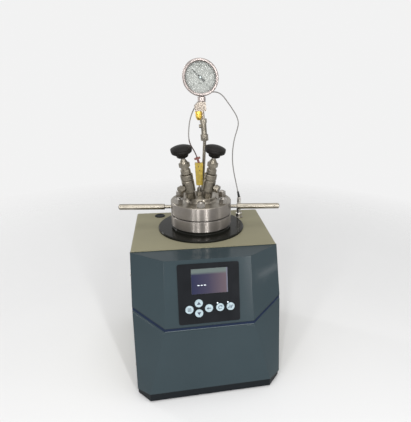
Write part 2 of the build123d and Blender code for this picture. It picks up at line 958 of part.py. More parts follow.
def handle_plane(side):
    """Plane through the vessel's axis whose normal points out along a handle."""
    along = lid_plane.x_dir * side
    return Plane(origin=(0, vessel_y, handle_z), x_dir=(0, 0, 1), z_dir=along)


with BuildPart() as lid:
    add(
        turned(
            vessel_axis,
            [
                (0, lid_z),
                (flange_radius - 1, lid_z),
                (flange_radius, lid_z + 1),
                (flange_radius, lid_top_z - edge_break),
                (flange_radius - edge_break, lid_top_z),
                (boss_radius + 3, lid_top_z),
                (boss_radius, lid_top_z + 3),
                (boss_radius, boss_top_z - edge_break),
                (boss_radius - edge_break, boss_top_z),
                (0, boss_top_z),
            ],
        )
    )
    with BuildSketch(vessel_axis.offset(lid_top_z)):
        with PolarLocations(bolt_circle, bolt_count, start_angle=bolt_start):
            Circle(stud_radius + seat_gap)
    extrude(amount=-lid_thickness, mode=Mode.SUBTRACT)
    with BuildSketch(Plane.XY.offset(boss_top_z)):
        with Locations((probe_x, vessel_y)):
            Circle(probe_radius + thread_gap)
    extrude(amount=lid_z - boss_top_z, mode=Mode.SUBTRACT)
    for side in (-1, 1):
        with BuildSketch(handle_plane(side).offset(flange_radius - handle_thread)):
            Circle(handle_neck + thread_gap)
        extrude(amount=2 * handle_thread, mode=Mode.SUBTRACT)
save(lid, "lid")

dome_radius = nut_width / 2 - 0.6
with BuildPart() as one_bolt:
    stud_length = lid_thickness + seal_gap + stud_depth
    add(rod(Plane.XY, -stud_length, stud_length, stud_radius))
    add(hexagon(Plane.XY, 0, nut_height, nut_width))
    with Locations((0, 0, nut_height)):
        Sphere(dome_radius, arc_size1=0)

with BuildPart() as lid_bolts:
    with Locations((0, vessel_y, lid_top_z)):
        with PolarLocations(bolt_circle, bolt_count, start_angle=bolt_start):
            add(one_bolt.part)
save(lid_bolts, "lid_bolts")

for side, name in ((-1, "handle_left"), (1, "handle_right")):
    handle = turned(
        handle_plane(side),
        [
            (0, flange_radius - handle_thread),
            (handle_neck, flange_radius - handle_thread),
            (handle_neck, handle_start),
            (handle_radius - 0.8, handle_start),
            (handle_radius, handle_start + 0.8),
            (handle_radius, handle_reach - 2),
            (handle_radius - 2, handle_reach),
            (0, handle_reach),
        ],
    )
    handle.label = name
    export_step(handle, f"parts/{name}.step")

# ---------------------------------------------------------------- thermocouple
probe_plane = Plane.XY.move(Location((probe_x, vessel_y, 0)))
probe_base_z = liner_floor_z + probe_tip
with BuildPart() as thermocouple_probe:
    add(rod(probe_plane, probe_base_z, tc_socket_z - probe_base_z, probe_radius))
save(thermocouple_probe, "thermocouple_probe")

with BuildPart() as probe_gland:
    add(hexagon(probe_plane, boss_top_z, gland_height, gland_width))
    add(rod(probe_plane, boss_top_z + gland_height, gland_nut, gland_width / 2 - 1))
    chamfer(probe_gland.edges().filter_by(GeomType.CIRCLE).sort_by(Axis.Z)[-1], 1.5)
    gland_bore = rod(probe_plane, boss_top_z, gland_top_z - boss_top_z, probe_radius + thread_gap)
    add(gland_bore, mode=Mode.SUBTRACT)
save(probe_gland, "probe_gland")

tc_front = Plane(origin=(probe_x, vessel_y, 0), x_dir=(1, 0, 0), z_dir=(0, -1, 0))
tc_total = tc_socket_length + tc_plug_length
tc_split_width = tc_foot_width + (tc_width - tc_foot_width) * tc_socket_length / tc_total


def flat_body(base_z, top_z, base_width, top_width):
    """Flat connector body with rounded upright edges, tapering between two widths."""
    with BuildPart() as body:
        with BuildSketch(tc_front):
            Polygon(
                (-base_width / 2, base_z),
                (base_width / 2, base_z),
                (top_width / 2, top_z),
                (-top_width / 2, top_z),
                align=None,
            )
        extrude(amount=tc_thickness / 2, both=True)
        fillet(body.edges().filter_by(Axis.Y), 1.2)
    return body.part


with BuildPart() as tc_socket:
    add(flat_body(tc_socket_z, tc_plug_z, tc_foot_width, tc_split_width))
save(tc_socket, "tc_socket")

sleeve_plane = Plane(
    origin=(probe_x, vessel_y, tc_top_z),
    x_dir=(cos(radians(sleeve_lean)), 0, sin(radians(sleeve_lean))),
    z_dir=(-sin(radians(sleeve_lean)), 0, cos(radians(sleeve_lean))),
)
with BuildPart() as tc_plug:
    add(flat_body(tc_plug_z, tc_top_z, tc_split_width, tc_width))
    add(rod(sleeve_plane, -1, sleeve_length + 1, sleeve_radius))
    with BuildSketch(sleeve_plane.offset(sleeve_length - 1 - clamp_height)):
        Rectangle(clamp_width, tc_thickness * 0.6)
    extrude(amount=clamp_height)
save(tc_plug, "tc_plug")


# ---------------------------------------------------------------- valves
def valve_plane(side):
    """Plane at a valve's foot whose normal runs up its leaning stem."""
    out = side * tan(radians(valve_lean_out))
    return Plane(
        origin=(valve_mid_x + side * valve_half_spacing, valve_y, boss_top_z),
        x_dir=(1, 0, -out),
        z_dir=(out, -tan(radians(valve_lean_front)), 1),
    )


def outlet_plane(side):
    """Plane on a valve's axis whose normal runs down its outlet, outward and to the front."""
    return Plane(
        origin=valve_plane(side).offset(outlet_height).origin,
        x_dir=(outlet_forward, side * outlet_out, 0),
        z_dir=(side * outlet_out, -outlet_forward, -outlet_fall),
    )


def valve_body(side):
    """Forged body with a hexagonal foot, a round barrel and an angled outlet."""
    foot = valve_plane(side)
    with BuildPart() as body:
        add(hexagon(foot, -5, valve_nut_height + 5, valve_nut_width))
        add(
            turned(
                foot,
                [
                    (0, valve_nut_height),
                    (valve_body_radius - 3.5, valve_nut_height),
                    (valve_body_radius - 3.5, valve_body_base - 1),
                    (valve_body_radius - 1.5, valve_body_base),
                    (valve_body_radius, valve_body_base + 1.5),
                    (valve_body_radius, valve_body_waist - 2),
                    (valve_body_radius - 1.5, valve_body_waist),
                    (valve_body_radius, valve_body_waist + 2),
                    (valve_body_radius, valve_body_top - 1.5),
                    (valve_body_radius - 1.5, valve_body_top),
                    (0, valve_body_top),
                ],
            )
        )
        add(rod(outlet_plane(side), 0, outlet_length, outlet_radius))
        split(bisect_by=Plane.XY.offset(boss_top_z), keep=Keep.TOP)
        add(
            rod(foot, stem_tip - seat_gap, valve_body_top, stem_radius + running_gap),
            mode=Mode.SUBTRACT,
        )
    return body.part


def valve_bonnet(side):
    """Packing nut on the body's top: neck, hexagon and a cone that closes on the stem."""
    foot = valve_plane(side)
    bonnet_top = valve_body_top + bonnet_length
    hex_top = bonnet_hex_base + bonnet_hex_height
    with BuildPart() as bonnet:
        add(
            turned(
                foot,
                [
                    (0, valve_body_top),
                    (bonnet_ring_radius - 1, valve_body_top),
                    (bonnet_ring_radius, valve_body_top + 2),
                    (bonnet_ring_radius, bonnet_ring_top - 2),
                    (bonnet_radius, bonnet_ring_top),
                    (bonnet_radius, bonnet_hex_base),
                    (bonnet_hex_width / 2 - 0.5, hex_top),
                    (bonnet_tip_radius, bonnet_top),
                    (0, bonnet_top),
                ],
            )
        )
        add(hexagon(foot, bonnet_hex_base, bonnet_hex_height, bonnet_hex_width))
        add(rod(foot, valve_body_top, bonnet_length, stem_radius + running_gap), mode=Mode.SUBTRACT)
    return bonnet.part


def valve_stem(side):
    """Needle stem, from its seat in the body to the blind bore in the knob."""
    return turned(
        valve_plane(side),
        [
            (0, stem_tip),
            (stem_radius, stem_tip + 5),
            (stem_radius, stem_top),
            (0, stem_top),
        ],
    )


def valve_knob(side):
    """Domed hand knob with a stepped hub and a blind bore."""
    foot = valve_plane(side)
    top = knob_base + knob_height
    rim = top - knob_dome - knob_rim
    dome_sphere = (knob_radius**2 + knob_dome**2) / (2 * knob_dome)
    with BuildPart() as knob:
        add(
            turned(
                foot,
                [
                    (0, knob_base),
                    (knob_hub_radius - 3, knob_base),
                    (knob_hub_radius - 1.5, knob_base + 4),
                    (knob_hub_radius, knob_base + 5),
                    (knob_hub_radius, rim - 1),
                    (knob_radius - 3.5, rim),
                    (knob_radius, rim + 4.5),
                    (knob_radius, top),
                    (0, top),
                ],
            )
        )
        with Locations(foot.offset(top - dome_sphere).location):
            Sphere(dome_sphere, mode=Mode.INTERSECT)
        add(
            rod(foot, knob_base, stem_top + running_gap - knob_base, stem_radius + running_gap),
            mode=Mode.SUBTRACT,
        )
    return knob.part


def outlet_cap(side):
    """Blanking nut that closes a valve's outlet."""
    port = outlet_plane(side)
    base = outlet_length - outlet_cap_length + 2
    with BuildPart() as cap:
        add(hexagon(port, base, outlet_cap_length, outlet_cap_width))
        add(rod(port, base, outlet_length - base, outlet_radius + thread_gap), mode=Mode.SUBTRACT)
    return cap.part


valve_pieces = {
    "body": valve_body,
    "bonnet": valve_bonnet,
    "stem": valve_stem,
    "knob": valve_knob,
    "cap": outlet_cap,
}
for side, side_name in ((-1, "left"), (1, "right")):
    for piece_name, make_piece in valve_pieces.items():
        piece = make_piece(side)
        piece.label = f"valve_{side_name}_{piece_name}"
        export_step(piece, f"parts/valve_{side_name}_{piece_name}.step")

# ---------------------------------------------------------------- riser, relief cap and gauge
riser_end = upper_axis.offset(-union_nut).origin
riser_run = Vector(riser_end.X - riser_foot_x, 0, riser_end.Z - boss_top_z)
riser_plane = Plane(origin=(riser_foot_x, riser_y, boss_top_z), x_dir=(0, 1, 0), z_dir=riser_run)
with BuildPart() as riser_tube:
    add(rod(riser_plane, -3, riser_run.length + 6, riser_radius))
    add(hexagon(riser_plane, -3, riser_nut_height + 3, riser_nut_width))
    split(bisect_by=Plane.XY.offset(boss_top_z), keep=Keep.TOP)
    split(bisect_by=upper_axis.offset(-union_nut), keep=Keep.BOTTOM)
save(riser_tube, "riser_tube")

union_port = Plane(
    origin=upper_axis.offset(union_port_t).origin, x_dir=(0, 1, 0), z_dir=-upper_axis.x_dir
)
with BuildPart() as riser_union:
    add(hexagon(upper_axis, -union_nut, 2 * union_nut, union_nut_width))
    add(rod(upper_axis, union_nut, union_body_top - union_nut, union_radius))
    add(hexagon(upper_axis, union_body_top, union_top - union_body_top, union_nut_width - 1.5))
    add(rod(union_port, 0, union_port_reach, union_port_radius))
save(riser_union, "riser_union")

with BuildPart() as gauge_block:
    with BuildSketch(upper_face):
        Polygon(
            (block_half_width, block_top),
            (-block_half_width, block_top),
            (-block_arm, block_base + 10),
            (-block_arm, block_base + 4),
            (-block_arm + 1.5, block_base),
            (block_half_width + 0.5, block_base),
            align=None,
        )
    extrude(amount=block_depth / 2, both=True)
    chamfer(gauge_block.faces().sort_by(Axis.Z)[-1].edges(), 1)
    add(rod(upper_axis, union_top, block_base - union_top + 1, neck_radius))
save(gauge_block, "gauge_block")

relief_plane = Plane(
    origin=upper_face.from_local_coords(Vector(relief_x, block_base, relief_forward)),
    x_dir=upper_axis.x_dir,
    z_dir=-upper_axis.z_dir,
)
with BuildPart() as relief_cap:
    add(
        turned(
            relief_plane,
            [
                (0, 0),
                (relief_radius, 0),
                (relief_radius, 4.5),
                (relief_radius - 0.8, 5),
                (relief_radius - 0.8, 6),
                (relief_radius, 6.5),
                (relief_radius - 0.4, 11),
                (relief_tip_radius, relief_length - 1.5),
                (relief_tip_radius - 1, relief_length),
                (0, relief_length),
            ],
        )
    )
save(relief_cap, "relief_cap")

can_base_t = gauge_t - gauge_can_radius
with BuildPart() as gauge_case:
    add(hexagon(upper_axis, block_top, gauge_hex_height, gauge_hex_width))
    neck_base = block_top + gauge_hex_height
    add(rod(upper_axis, neck_base, can_base_t + 3 - neck_base, gauge_neck_radius))
    with BuildSketch(gauge_face.offset(-gauge_can_back)):
        Circle(gauge_can_radius)
    extrude(amount=gauge_can_back + gauge_can_front)
    back_rim = gauge_case.edges().filter_by(GeomType.CIRCLE).sort_by(Axis.Y)[-1]
    fillet(back_rim, 3)
    with BuildSketch(gauge_face.offset(gauge_can_front)):
        Circle(gauge_can_radius - gauge_can_wall)
    extrude(amount=dial_level - gauge_can_front, mode=Mode.SUBTRACT)
    add(rod(gauge_face, dial_level - 6, 6, pointer_shaft + running_gap), mode=Mode.SUBTRACT)
save(gauge_case, "gauge_case")

dial_radius = gauge_can_radius - gauge_can_wall - seat_gap
with BuildPart() as gauge_dial:
    with BuildSketch(gauge_face.offset(dial_level)):
        Circle(dial_radius)
        Circle(pointer_shaft + seat_gap, mode=Mode.SUBTRACT)
    extrude(amount=dial_thickness)
save(gauge_dial, "gauge_dial")

pointer_level = dial_level + dial_thickness + seat_gap
needle_ends = [
    (-pointer_tail, 2.2),
    (-pointer_hub, 1.1),
    (pointer_hub, 0.9),
    (pointer_length, 0.35),
]
with BuildPart() as gauge_pointer:
    add(rod(gauge_face, dial_level - 5, 5 + pointer_level - dial_level, pointer_shaft))
    add(rod(gauge_face, pointer_level, 2, pointer_hub))
    with BuildSketch(gauge_face.offset(pointer_level + 0.4)):
        with Locations(Location((0, 0), pointer_angle)):
            Polygon(*needle_ends, *[(x, -half) for x, half in reversed(needle_ends)], align=None)
    extrude(amount=0.8)
save(gauge_pointer, "gauge_pointer")

with BuildPart() as gauge_glass:
    with BuildSketch(gauge_face.offset(gauge_can_front)):
        Circle(gauge_can_radius - 0.5)
    extrude(amount=glass_thickness)
save(gauge_glass, "gauge_glass")

bezel_inner = gauge_can_radius + seat_gap
bezel_seat = gauge_can_front + glass_thickness
with BuildPart() as gauge_bezel:
    add(
        turned(
            gauge_face,
            [
                (bezel_inner, bezel_back),
                (bezel_radius - 0.4, bezel_back),
                (bezel_radius, bezel_back + 0.6),
                (bezel_radius, bezel_front - 2.5),
                (bezel_radius - 0.8, bezel_front - 0.8),
                (bezel_radius - 2.2, bezel_front),
                (bezel_lip_radius + 1.6, bezel_front),
                (bezel_lip_radius, bezel_seat + 0.6),
                (bezel_lip_radius, bezel_seat),
                (bezel_inner, bezel_seat),
            ],
        )
    )
save(gauge_bezel, "gauge_bezel")

# ---------------------------------------------------------------- sensor connector and cable
connector_plane = Plane.XY.move(Location((socket_x, socket_y, connector_base_z)))
boot_plane = Plane(
    origin=connector_plane.offset(shell_length).origin,
    x_dir=(cos(radians(boot_lean)), 0, sin(radians(boot_lean))),
    z_dir=(-sin(radians(boot_lean)), 0, cos(radians(boot_lean))),
)
nose_depth = connector_base_z - case_top_z + 10
with BuildPart() as cable_connector:
    add(
        turned(
            connector_plane,
            [
                (0, -nose_depth),
                (connector_shell - 1, -nose_depth),
                (connector_shell - 1, 0),
                (connector_nut, 0),
                (connector_nut, 7),
                (connector_nut - 1, 8),
                (connector_shell, 8),
                (connector_shell, 30),
                (connector_shell - 0.6, 31),
                (connector_shell - 0.6, 40),
                (connector_shell - 1.2, shell_length),
                (0, shell_length),
            ],
        )
    )
    add(
        turned(
            boot_plane,
            [
                (0, -1),
                (connector_boot, -1),
                (connector_boot - 0.9, boot_length),
                (0, boot_length),
            ],
        )
    )
save(cable_connector, "cable_connector")

cable_start = sleeve_plane.offset(sleeve_length).origin
cable_end = boot_plane.offset(boot_length).origin
cable_points = [
    cable_start,
    cable_start + sleeve_plane.z_dir * 8.0,
    Vector(-13.6, 53.2, 427.0),
    Vector(-19.0, 54.8, 436.4),
    Vector(-21.2, 58.0, 448.0),
    Vector(-20.3, 62.5, 462.8),
    Vector(-17.9, 68.8, 477.0),
    Vector(-13.5, 77.0, 489.4),
    Vector(-6.6, 84.6, 501.7),
    Vector(3.1, 87.6, 515.6),
    Vector(14.4, 89.6, 526.3),
    Vector(27.4, 90.8, 531.0),
    Vector(39.0, 91.7, 530.6),
    Vector(49.0, 92.5, 524.6),
    Vector(58.8, 93.5, 512.3),
    Vector(69.5, 94.5, 498.0),
    Vector(78.3, 95.1, 484.4),
    Vector(82.2, 95.8, 471.4),
    Vector(79.4, 96.6, 457.5),
    Vector(74.9, 97.4, 443.2),
    Vector(71.9, 98.0, 427.1),
    Vector(70.2, 98.5, 407.6),
    Vector(70.9, 98.8, 385.7),
    Vector(74.6, 99.0, 363.1),
    cable_end + boot_plane.z_dir * 17.0,
    cable_end,
]


def bend_radii(points):
    """Largest even bend at each inner point: 0.45 of the shorter run over the half turn's tangent."""
    radii = []
    for before, corner, after in zip(points, points[1:], points[2:]):
        run_in = corner - before
        run_out = after - corner
        half_turn = radians(run_in.get_angle(run_out)) / 2
        radii.append(0.45 * min(run_in.length, run_out.length) / tan(half_turn))
    return radii


cable_radii = bend_radii(cable_points)
print("cable bend radii", [round(radius, 1) for radius in cable_radii])
with BuildPart() as sensor_cable:
    with BuildLine() as cable_route:
        FilletPolyline(*cable_points, radius=cable_radii)
    with BuildSketch(Plane(origin=cable_start, z_dir=sleeve_plane.z_dir)):
        Circle(cable_radius)
    sweep()
print("cable length", round(sum(edge.length for edge in cable_route.edges()), 1))
save(sensor_cable, "sensor_cable")
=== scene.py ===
import json
from math import cos, pi, radians, sin, tan

import bmesh
import bpy
from mathutils import Matrix, Vector


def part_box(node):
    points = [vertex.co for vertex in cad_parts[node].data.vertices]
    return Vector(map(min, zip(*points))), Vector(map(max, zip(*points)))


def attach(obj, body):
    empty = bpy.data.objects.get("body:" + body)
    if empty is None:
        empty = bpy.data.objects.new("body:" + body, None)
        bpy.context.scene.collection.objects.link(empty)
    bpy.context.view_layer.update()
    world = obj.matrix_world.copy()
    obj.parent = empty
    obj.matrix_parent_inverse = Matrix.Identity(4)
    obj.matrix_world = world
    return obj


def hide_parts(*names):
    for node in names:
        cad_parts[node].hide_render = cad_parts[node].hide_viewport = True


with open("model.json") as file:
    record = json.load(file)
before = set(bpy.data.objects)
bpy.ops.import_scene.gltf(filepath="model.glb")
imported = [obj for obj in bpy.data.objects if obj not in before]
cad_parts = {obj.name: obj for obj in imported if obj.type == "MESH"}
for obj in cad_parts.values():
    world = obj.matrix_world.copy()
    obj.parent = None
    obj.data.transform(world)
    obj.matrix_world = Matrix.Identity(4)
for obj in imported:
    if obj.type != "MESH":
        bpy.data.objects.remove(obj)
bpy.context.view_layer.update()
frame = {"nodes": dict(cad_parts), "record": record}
nodes = frame["nodes"]
MM = 0.001


# ---------------------------------------------------------------- camera
# The fit is in pixels of the 411 x 422 frame; the lens is worked out from it.
FRAME_LONG_SIDE = 422
FOCAL_PIXELS = 400.0
AXIS_RIGHT = 59.97
AXIS_DOWN = 14.07
CAMERA_PLACE = Vector((-0.05412, -0.73173, 0.584))
CAMERA_YAW = -0.239458
CAMERA_PITCH = -0.380791
CAMERA_ROLL = 0.043846


def make_camera():
    """Camera at the photographer's place, level of roll and framing included."""
    data = bpy.data.cameras.new("camera")
    data.sensor_width = 36
    data.lens = data.sensor_width * FOCAL_PIXELS / FRAME_LONG_SIDE
    data.shift_x = -AXIS_RIGHT / FRAME_LONG_SIDE
    data.shift_y = AXIS_DOWN / FRAME_LONG_SIDE
    forward = Vector(
        (
            -sin(CAMERA_YAW) * cos(CAMERA_PITCH),
            cos(CAMERA_YAW) * cos(CAMERA_PITCH),
            sin(CAMERA_PITCH),
        )
    )
    level = Vector((cos(CAMERA_YAW), sin(CAMERA_YAW), 0))
    above = level.cross(forward)
    right = level * cos(CAMERA_ROLL) + above * sin(CAMERA_ROLL)
    up = above * cos(CAMERA_ROLL) - level * sin(CAMERA_ROLL)
    camera = bpy.data.objects.new("camera", data)
    turn = Matrix((right, up, -forward)).transposed()
    camera.matrix_world = Matrix.Translation(CAMERA_PLACE) @ turn.to_4x4()
    bpy.context.collection.objects.link(camera)
    bpy.context.scene.camera = camera


make_camera()

# ---------------------------------------------------------------- node helpers


def make_node(tree, kind, **values):
    """One shader node, with its sockets set by name (underscores for spaces)."""
    node = tree.nodes.new(kind)
    for name, value in values.items():
        socket = name.replace("_", " ")
        if socket in node.inputs:
            node.inputs[socket].default_value = value
        else:
            setattr(node, name, value)
    return node


def place_of(tree, scale=(1, 1, 1), centre=(0, 0, 0)):
    """Position in the row's frame, from a centre and stretched by scale."""
    coordinates = make_node(tree, "ShaderNodeTexCoord")
    mapping = make_node(tree, "ShaderNodeMapping")
    mapping.vector_type = "TEXTURE"
    mapping.inputs["Location"].default_value = centre
    mapping.inputs["Scale"].default_value = [1 / s for s in scale]
    tree.links.new(coordinates.outputs["Object"], mapping.inputs["Vector"])
    return mapping.outputs["Vector"]


def ramp(tree, factor, stops):
    """Colours blended along a factor: (position, colour) stops."""
    node = make_node(tree, "ShaderNodeValToRGB")
    points = node.color_ramp.elements
    while len(points) < len(stops):
        points.new(0.5)
    for point, (position, colour) in zip(points, stops):
        point.position = position
        point.color = (*colour[:3], 1)
    tree.links.new(factor, node.inputs["Fac"])
    return node.outputs["Color"]


def paint_over(tree, mask, below, colour):
    """A plain colour laid over another one where the mask is 1."""
    mix = make_node(tree, "ShaderNodeMix", data_type="RGBA")
    tree.links.new(mask, mix.inputs["Factor"])
    tree.links.new(below, mix.inputs["A"])
    mix.inputs["B"].default_value = (*colour, 1)
    return mix.outputs["Result"]


def shade(colour, amount):
    """The same colour, lighter or darker."""
    return tuple(min(1.0, channel * amount) for channel in colour)


def principled(name, metallic=0.0, **constants):
    """A material with its shader's constant sockets set directly."""
    material = bpy.data.materials.new(name)
    material.use_nodes = True
    tree = material.node_tree
    shader = tree.nodes["Principled BSDF"]
    shader.inputs["Metallic"].default_value = metallic
    for socket, value in constants.items():
        shader.inputs[socket.replace("_", " ")].default_value = value
    return material, tree, shader


def noise(tree, vector, size, detail=3.0, roughness=0.5):
    """Noise with features of about one size, in metres."""
    texture = make_node(tree, "ShaderNodeTexNoise", Scale=1 / size, Detail=detail, Roughness=roughness)
    tree.links.new(vector, texture.inputs["Vector"])
    return texture.outputs["Fac"]


def roughness_range(tree, shader, factor, low, high):
    """Roughness that follows a factor between two values."""
    mapped = make_node(tree, "ShaderNodeMapRange", To_Min=low, To_Max=high)
    tree.links.new(factor, mapped.inputs["Value"])
    tree.links.new(mapped.outputs["Result"], shader.inputs["Roughness"])


def bump(tree, shader, height, depth, strength=1.0, edge=0.0):
    """Relief from a height factor, depth in metres, over edges softened by a radius."""
    node = make_node(tree, "ShaderNodeBump", Strength=strength, Distance=depth)
    tree.links.new(height, node.inputs["Height"])
    if edge:
        rounded = make_node(tree, "ShaderNodeBevel", Radius=edge)
        tree.links.new(rounded.outputs["Normal"], node.inputs["Normal"])
    tree.links.new(node.outputs["Normal"], shader.inputs["Normal"])


def coated(name, colour, grain, depth, rough, mottle=0.12, cloud=0.05, edge=0.0, **constants):
    """Paint, moulded plastic or rubber: soft mottling, fine grain and uneven gloss."""
    material, tree, shader = principled(name, **constants)
    place = place_of(tree)
    clouds = noise(tree, place, cloud, 4.0)
    stops = [(0.25, shade(colour, 1 - mottle)), (0.75, shade(colour, 1 + mottle))]
    tree.links.new(ramp(tree, clouds, stops), shader.inputs["Base Color"])
    roughness_range(tree, shader, clouds, rough - 0.05, rough + 0.05)
    bump(tree, shader, noise(tree, place, grain, 2.0), depth, edge=edge)
    return material


def turned_steel(name, colour, centre, rough, line=0.0006, contrast=0.2, anisotropy=0.6):
    """Lathe-turned steel: fine rings round an upright axis, slightly stained."""
    material, tree, shader = principled(
        name, metallic=1.0, Anisotropic=anisotropy, Anisotropic_Rotation=0.25
    )
    place = place_of(tree, centre=centre)
    split = make_node(tree, "ShaderNodeSeparateXYZ")
    tree.links.new(place, split.inputs["Vector"])
    flat = make_node(tree, "ShaderNodeVectorMath", operation="MULTIPLY")
    flat.inputs[1].default_value = (1, 1, 0)
    tree.links.new(place, flat.inputs[0])
    reach = make_node(tree, "ShaderNodeVectorMath", operation="LENGTH")
    tree.links.new(flat.outputs["Vector"], reach.inputs[0])
    rings = make_node(tree, "ShaderNodeCombineXYZ")
    tree.links.new(reach.outputs["Value"], rings.inputs["X"])
    tree.links.new(split.outputs["Z"], rings.inputs["Y"])
    lines = noise(tree, rings.outputs["Vector"], line, 4.0, 0.7)
    stain = noise(tree, place, 0.03, 3.0)
    mix = make_node(tree, "ShaderNodeMath", operation="MULTIPLY")
    tree.links.new(lines, mix.inputs[0])
    tree.links.new(stain, mix.inputs[1])
    stops = [(0.1, shade(colour, 1 - contrast)), (0.4, shade(colour, 1 + contrast))]
    tree.links.new(ramp(tree, mix.outputs["Value"], stops), shader.inputs["Base Color"])
    roughness_range(tree, shader, lines, rough - 0.06, rough + 0.1)
    bump(tree, shader, lines, 0.00002, 0.6)
    tangent = make_node(tree, "ShaderNodeTangent", direction_type="RADIAL", axis="Z")
    tree.links.new(tangent.outputs["Tangent"], shader.inputs["Tangent"])
    return material


def drawn_steel(name, colour, along, rough, contrast=0.2, grit=0.0005):
    """Steel or brass brushed along one direction of the row's frame, with darker staining."""
    material, tree, shader = principled(name, metallic=1.0)
    stretch = [0.06 if abs(part) > 0.5 else 1.0 for part in along]
    place = place_of(tree, scale=stretch)
    lines = noise(tree, place, grit, 3.0, 0.6)
    stain = noise(tree, place_of(tree), 0.012, 4.0)
    mix = make_node(tree, "ShaderNodeMath", operation="MULTIPLY")
    tree.links.new(lines, mix.inputs[0])
    tree.links.new(stain, mix.inputs[1])
    stops = [(0.12, shade(colour, 1 - contrast)), (0.38, shade(colour, 1 + contrast))]
    tree.links.new(ramp(tree, mix.outputs["Value"], stops), shader.inputs["Base Color"])
    roughness_range(tree, shader, lines, rough - 0.06, rough + 0.1)
    bump(tree, shader, lines, 0.00002, 0.5)
    return material


# ---------------------------------------------------------------- materials
BEIGE = (0.240, 0.225, 0.150)
SLATE = (0.030, 0.045, 0.052)
NAVY = (0.005, 0.013, 0.036)
JET = (0.009, 0.010, 0.012)
STEEL = (0.28, 0.256, 0.235)
DARK_STEEL = (0.20, 0.18, 0.146)
YELLOW = (0.40, 0.285, 0.028)

vessel_centre = sum(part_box("vessel"), Vector()) / 2

materials = {
    "foot_rubber": coated("rubber", (0.02, 0.02, 0.02), 0.0008, 0.0001, 0.8),
    "black_moulding": coated(
        "black_moulding", (0.010, 0.012, 0.014), 0.0007, 0.00006, 0.42, Specular_IOR_Level=0.06
    ),
    "beige_paint": coated(
        "beige_paint", BEIGE, 0.0011, 0.00006, 0.5, mottle=0.05, cloud=0.09, edge=0.001,
        Specular_IOR_Level=0.1,
    ),
    "slate_cover": coated(
        "slate_cover", SLATE, 0.0016, 0.00001, 0.16, mottle=0.08, cloud=0.12, edge=0.0017,
        Specular_IOR_Level=0.16,
    ),
    "navy_strip": coated(
        "navy_strip", NAVY, 0.0009, 0.00003, 0.25, mottle=0.15, cloud=0.02, Specular_IOR_Level=0.2
    ),
    "panel_black": coated(
        "panel_black", JET, 0.0008, 0.00001, 0.13, mottle=0.2, cloud=0.03, Specular_IOR_Level=0.12
    ),
    "display": coated("display_frame", (0.02, 0.022, 0.03), 0.0009, 0.00002, 0.3),
    "key_white": coated("key_white", (0.34, 0.43, 0.47), 0.0009, 0.00003, 0.3, cloud=0.008),
    "board_green": coated("board_green", (0.02, 0.14, 0.05), 0.0009, 0.00003, 0.45),
    "rocker_red": coated("rocker_red", (0.32, 0.02, 0.02), 0.0009, 0.00003, 0.3),
    "collar_black": coated(
        "collar_black", (0.010, 0.010, 0.008), 0.0009, 0.00002, 0.2, Specular_IOR_Level=0.1
    ),
    "insulation": coated("insulation", (0.62, 0.58, 0.5), 0.0012, 0.0006, 0.9, mottle=0.2),
    "motor_paint": coated("motor_paint", (0.03, 0.03, 0.035), 0.0009, 0.00004, 0.5),
    "ptfe_white": coated("ptfe_white", (0.8, 0.8, 0.78), 0.0009, 0.00002, 0.4, mottle=0.04),
    "gasket_dark": coated("gasket_dark", (0.02, 0.02, 0.02), 0.0008, 0.00005, 0.7),
    "tc_yellow": coated("tc_yellow", YELLOW, 0.0007, 0.00004, 0.3, mottle=0.35, cloud=0.007),
    "knob_black": coated(
        "knob_black", (0.007, 0.006, 0.005), 0.0008, 0.00006, 0.45, mottle=0.3,
        Specular_IOR_Level=0.12,
    ),
    "dial_white": coated("dial_white", (0.38, 0.37, 0.38), 0.0009, 0.00001, 0.5, mottle=0.04),
    "pointer_black": coated("pointer_black", (0.01, 0.01, 0.012), 0.0009, 0.00001, 0.4),
    "cable_grey": coated("cable_grey", (0.2, 0.19, 0.18), 0.0004, 0.0001, 0.5),
    "vessel_steel": turned_steel("vessel_steel", STEEL, vessel_centre, 0.34, anisotropy=0.9),
    "well_aluminium": turned_steel("well_aluminium", (0.6, 0.6, 0.6), vessel_centre, 0.35),
    "band_steel": turned_steel("band_steel", (0.4, 0.37, 0.33), vessel_centre, 0.4),
    "fastener_steel": drawn_steel("fastener_steel", (0.32, 0.30, 0.275), (0, 0, 1), 0.26),
    "fitting_steel": drawn_steel("fitting_steel", DARK_STEEL, (0, 0, 1), 0.29, contrast=0.4),
    "gauge_steel": drawn_steel("gauge_steel", (0.34, 0.30, 0.285), (0, 1, 0), 0.3),
    "relief_brass": drawn_steel("relief_brass", (0.75, 0.52, 0.1), (0, 0, 1), 0.3),
}
handle_steel = drawn_steel("handle_steel", (0.26, 0.237, 0.197), (1, 0, 0), 0.3)

# Places in the row's frame, in metres, where a piece changes colour.
CONNECTOR_BOOT = 0.312
PLUG_CLAMP = 0.400
LID_FACE = 0.3235
LEAD_HOT_RIGHT = 0.02
LEAD_HOT_TOP = 0.445
BOOT_BLACK = (0.012, 0.012, 0.012)
CLAMP_RED = (0.16, 0.04, 0.03)
LEAD_BROWN = (0.055, 0.025, 0.018)
# Painted shade: colour for the lid's top face, a little darker and browner than its sides.
LID_TOP_SHADE = (0.28, 0.255, 0.215)
WAIST_HALF_WIDTH = 0.0795
WAIST_HEIGHT = 0.145
GROOVE_CLIMB = 0.577
# Middle and half height of each band, measured from the groove, and its colour: the navy margin, then
# a pale band under it that is a painted highlight on the upward-facing lip.
GROOVE_NAVY_AND_HIGHLIGHT_BANDS = ((-0.0036, 0.0014, NAVY), (-0.0057, 0.0007, (0.15, 0.18, 0.19)))


